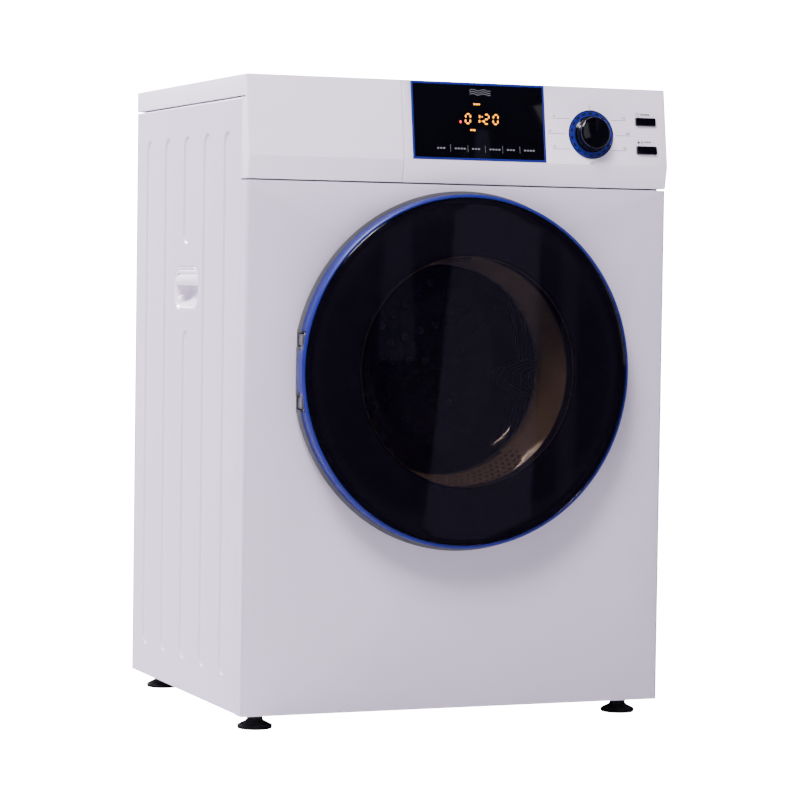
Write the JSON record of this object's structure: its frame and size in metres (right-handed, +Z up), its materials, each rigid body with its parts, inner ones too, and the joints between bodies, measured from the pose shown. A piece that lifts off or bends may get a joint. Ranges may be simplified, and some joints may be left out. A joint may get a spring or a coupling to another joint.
{
  "type": "clothes dryer",
  "caption": "Front-loading vented clothes dryer with a round glass door, a leaning control fascia, side grips and a rear exhaust collar.",
  "frame": {"origin": "on the floor, under the centre of the overall box", "axes": "+Z up, -Y is the front with the door, +X is right seen from the front"},
  "size_m": [0.595, 0.5549, 0.8453],
  "materials": {
    "white_enamel": "gloss",
    "white_plastic": "satin",
    "worktop_laminate": "satin",
    "galvanised": "satin",
    "blue_trim": "gloss",
    "dark_glass": "gloss",
    "black_gloss": "gloss",
    "black_plastic": "matte",
    "grey_plastic": "satin",
    "taupe_plastic": "satin",
    "clear_glass": "gloss",
    "seal_rubber": "matte",
    "felt": "matte",
    "hinge_metal": "satin",
    "drum_steel": "satin",
    "bright_steel": "satin",
    "roller_nylon": "satin",
    "motor_metal": "satin",
    "circuit_green": "satin",
    "ceramic_heater": "matte",
    "foot_black": "satin"
  },
  "bodies": {
    "cabinet": {"left_side_panel": "white_enamel", "right_side_panel": "white_enamel", "hand_grips": "white_plastic", "front_panel": "white_enamel", "rear_panel": "galvanised", "base_pan": "galvanised", "worktop_frame": "white_plastic", "worktop_board": "worktop_laminate", "fascia_panel": "white_plastic", "fascia_blank": "white_plastic", "display_bezel": "blue_trim", "display_lens": "black_gloss", "knob_dial_ring": "blue_trim", "rotary_encoder": "black_plastic", "control_board": "circuit_green", "hinge_base": "hinge_metal", "door_lock": "black_plastic", "port_funnel": "taupe_plastic", "lint_grille": "taupe_plastic", "lint_duct": "black_plastic", "front_bulkhead": "galvanised", "drum_front_felt": "felt", "bearing_bracket": "galvanised", "roller_axles": "bright_steel", "motor_housing": "motor_metal", "motor_bracket": "galvanised", "drive_belt": "seal_rubber", "blower_housing": "black_plastic", "heater_coils": "ceramic_heater", "rear_duct_cover": "galvanised", "exhaust_duct": "galvanised", "exhaust_collar": "grey_plastic", "cord_inlet": "black_plastic"},
    "knob": {"program_knob": "black_gloss"},
    "power_key": {"power_button": "black_gloss"},
    "start_key": {"start_button": "black_gloss"},
    "door": {"door_outer_glass": "dark_glass", "door_ring": "blue_trim", "door_frame": "black_plastic", "door_rear_cover": "grey_plastic", "door_inner_bowl": "clear_glass", "door_seal": "seal_rubber", "door_hinge_leaf": "hinge_metal", "hinge_pin": "hinge_metal", "door_strike": "hinge_metal"},
    "catch": {"lock_catch": "black_plastic"},
    "filter": {"lint_filter": "taupe_plastic"},
    "drum": {"drum_shell": "drum_steel", "drum_lifters": "drum_steel", "drum_shaft": "bright_steel"},
    "roller_l": {"roller_left": "roller_nylon"},
    "roller_r": {"roller_right": "roller_nylon"},
    "rotor": {"motor_shaft": "bright_steel", "blower_wheel": "black_plastic"},
    "arm": {"idler_arm": "bright_steel"},
    "idler": {"idler_pulley": "roller_nylon"},
    "foot_front_left_body": {"foot_front_left": "foot_black"},
    "foot_rear_left_body": {"foot_rear_left": "foot_black"},
    "foot_front_right_body": {"foot_front_right": "foot_black"},
    "foot_rear_right_body": {"foot_rear_right": "foot_black"}
  },
  "joints": [
    {"name": "door_swing", "type": "hinge", "parent": "cabinet", "child": "door", "pos_m": [-0.222, -0.26, 0.4663], "axis": [0, 0, -1], "range_deg": [0, 110]},
    {"name": "catch_slide", "type": "slide", "parent": "cabinet", "child": "catch", "axis": [1, 0, 0], "range_m": [0, 0.003], "stiffness_N_per_m": 400, "springref_m": -0.001},
    {"name": "knob_turn", "type": "hinge", "parent": "cabinet", "child": "knob", "pos_m": [0.1845, -0.24035, 0.78191], "axis": [0, -0.9904, 0.1382], "continuous": true},
    {"name": "power_press", "type": "slide", "parent": "cabinet", "child": "power_key", "axis": [0, 0.9904, -0.1382], "range_m": [0, 0.002], "stiffness_N_per_m": 600, "springref_m": -0.001},
    {"name": "start_press", "type": "slide", "parent": "cabinet", "child": "start_key", "axis": [0, 0.9904, -0.1382], "range_m": [0, 0.002], "stiffness_N_per_m": 600, "springref_m": -0.001},
    {"name": "filter_pull", "type": "slide", "parent": "cabinet", "child": "filter", "axis": [0, 0, 1], "range_m": [0, 0.09]},
    {"name": "drum_spin", "type": "hinge", "parent": "cabinet", "child": "drum", "pos_m": [0, 0.197, 0.4663], "axis": [0, 1, 0], "continuous": true},
    {"name": "rotor_spin", "type": "hinge", "parent": "cabinet", "child": "rotor", "pos_m": [0.11, 0, 0.11], "axis": [0, 1, 0], "continuous": true},
    {"name": "roller_l_spin", "type": "hinge", "parent": "cabinet", "child": "roller_l", "pos_m": [-0.19624, -0.154, 0.23243], "axis": [0, 1, 0], "continuous": true},
    {"name": "roller_r_spin", "type": "hinge", "parent": "cabinet", "child": "roller_r", "pos_m": [0.19624, -0.154, 0.23243], "axis": [0, 1, 0], "continuous": true},
    {"name": "idler_arm_swing", "type": "hinge", "parent": "cabinet", "child": "arm", "pos_m": [-0.02062, 0.105, 0.057], "axis": [0, -1, 0], "range_deg": [0, 12], "stiffness_Nm_per_rad": 4, "springref_deg": -22.92},
    {"name": "idler_spin", "type": "hinge", "parent": "arm", "child": "idler", "pos_m": [0.04, 0.105, 0.092], "axis": [0, 1, 0], "continuous": true},
    {"name": "foot_front_left_screw", "type": "slide", "parent": "cabinet", "child": "foot_front_left_body", "axis": [0, 0, -1], "range_m": [-0.004, 0.015]},
    {"name": "foot_rear_left_screw", "type": "slide", "parent": "cabinet", "child": "foot_rear_left_body", "axis": [0, 0, -1], "range_m": [-0.004, 0.015]},
    {"name": "foot_front_right_screw", "type": "slide", "parent": "cabinet", "child": "foot_front_right_body", "axis": [0, 0, -1], "range_m": [-0.004, 0.015]},
    {"name": "foot_rear_right_screw", "type": "slide", "parent": "cabinet", "child": "foot_rear_right_body", "axis": [0, 0, -1], "range_m": [-0.004, 0.015]}
  ],
  "couplings": [
    {"joint": "rotor_spin", "follows": "drum_spin", "ratio": 25},
    {"joint": "idler_spin", "follows": "drum_spin", "ratio": 11},
    {"joint": "roller_l_spin", "follows": "drum_spin", "ratio": -9.1667},
    {"joint": "roller_r_spin", "follows": "drum_spin", "ratio": -9.1667}
  ]
}
